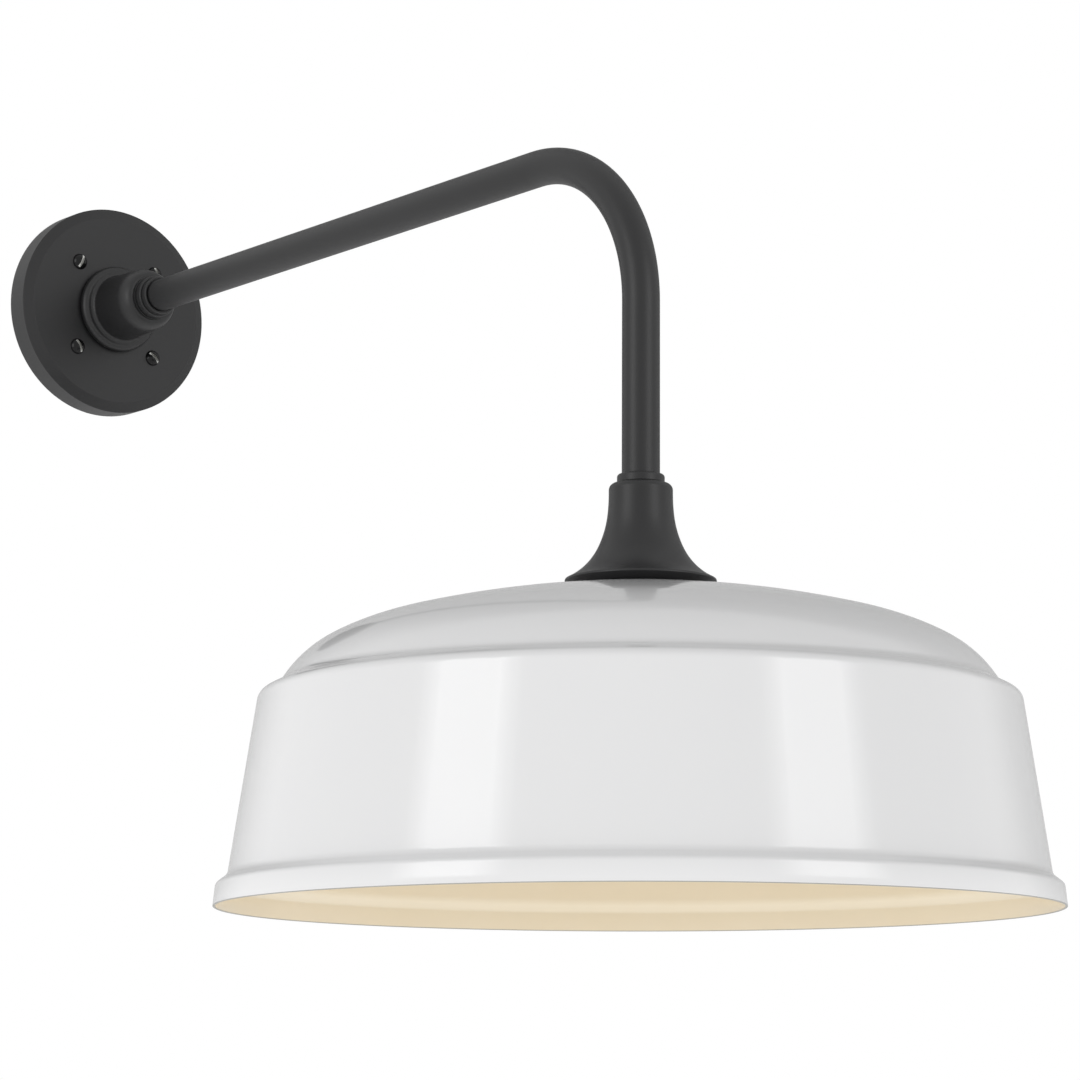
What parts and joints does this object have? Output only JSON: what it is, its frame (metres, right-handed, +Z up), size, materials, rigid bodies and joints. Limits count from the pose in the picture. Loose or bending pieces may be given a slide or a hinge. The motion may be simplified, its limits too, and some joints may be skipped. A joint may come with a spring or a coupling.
{
  "type": "barn light",
  "caption": "Barn light: round wall plate with a hub, a bent tube arm and a flared fitter that carries a wide stepped dome shade with a banded rim over a screw-base lamp.",
  "frame": {"origin": "centre of the two slotted holes for the wall box's screws, in the plane of the wall, on the arm's axis", "axes": "+Y into the wall, +Z up; the arm leaves along -Y and turns down to the shade"},
  "size_m": [0.508, 0.8989, 0.557],
  "materials": {
    "black_coat": "fine-textured black powder coat, satin",
    "black_enamel": "gloss black paint on screws",
    "white_enamel": "gloss white enamel, warm white inside",
    "black_rubber": "matte black foam rubber",
    "zinc_plate": "bright zinc plating, slightly dull",
    "green_screw": "green dyed steel",
    "brass": "plain turned brass",
    "black_plastic": "moulded nylon",
    "white_plastic": "moulded nylon",
    "black_insulation": "extruded insulation",
    "white_insulation": "extruded insulation",
    "green_insulation": "extruded insulation",
    "porcelain": "glazed white porcelain",
    "nickel_shell": "drawn sheet",
    "tin_contact": "soldered tip",
    "black_glass": "black glass insulator",
    "aluminium_base": "drawn sheet",
    "bulb_glass": "frosted glass"
  },
  "bodies": {
    "fixture": {"wall_plate": "black_coat", "wall_gasket": "black_rubber", "mounting_plate": "zinc_plate", "plate_screws": "black_enamel", "ground_screw": "green_screw", "wall_hub": "black_coat", "hub_set_screw": "black_enamel", "hub_collar": "black_coat", "arm_lock_washer": "zinc_plate", "arm_lock_nut": "zinc_plate", "arm_tube": "black_coat", "arm_bushing": "black_plastic", "terminal_block": "white_plastic", "terminal_screws": "brass", "block_screw": "zinc_plate", "line_wire": "black_insulation", "neutral_wire": "white_insulation", "ground_wire": "green_insulation", "fitter_collar": "black_coat", "fitter_bell": "black_coat", "bell_set_screw": "black_enamel", "fitter_gasket": "black_rubber", "fitter_nipple": "zinc_plate", "shade": "white_enamel", "shade_washer": "zinc_plate", "shade_nut": "zinc_plate", "socket_cap": "zinc_plate", "socket_body": "porcelain", "socket_shell": "nickel_shell", "socket_contact": "brass", "socket_terminals": "brass", "socket_screws": "zinc_plate"},
    "bulb_travel": {"bulb_contact": "tin_contact"},
    "bulb": {"bulb_insulator": "black_glass", "bulb_base": "aluminium_base", "bulb_glass": "bulb_glass"}
  },
  "joints": [
    {"name": "bulb_slide", "type": "slide", "parent": "fixture", "child": "bulb_travel", "axis": [0, 0, -1], "range_m": [0, 0.0218]},
    {"name": "bulb_turn", "type": "hinge", "parent": "bulb_travel", "child": "bulb", "pos_m": [0, -0.645, -0.35], "axis": [0, 0, -1], "range_deg": [0, 2160]}
  ],
  "couplings": [
    {"joint": "bulb_slide", "follows": "bulb_turn", "m_per_rad": 0.00057751}
  ]
}
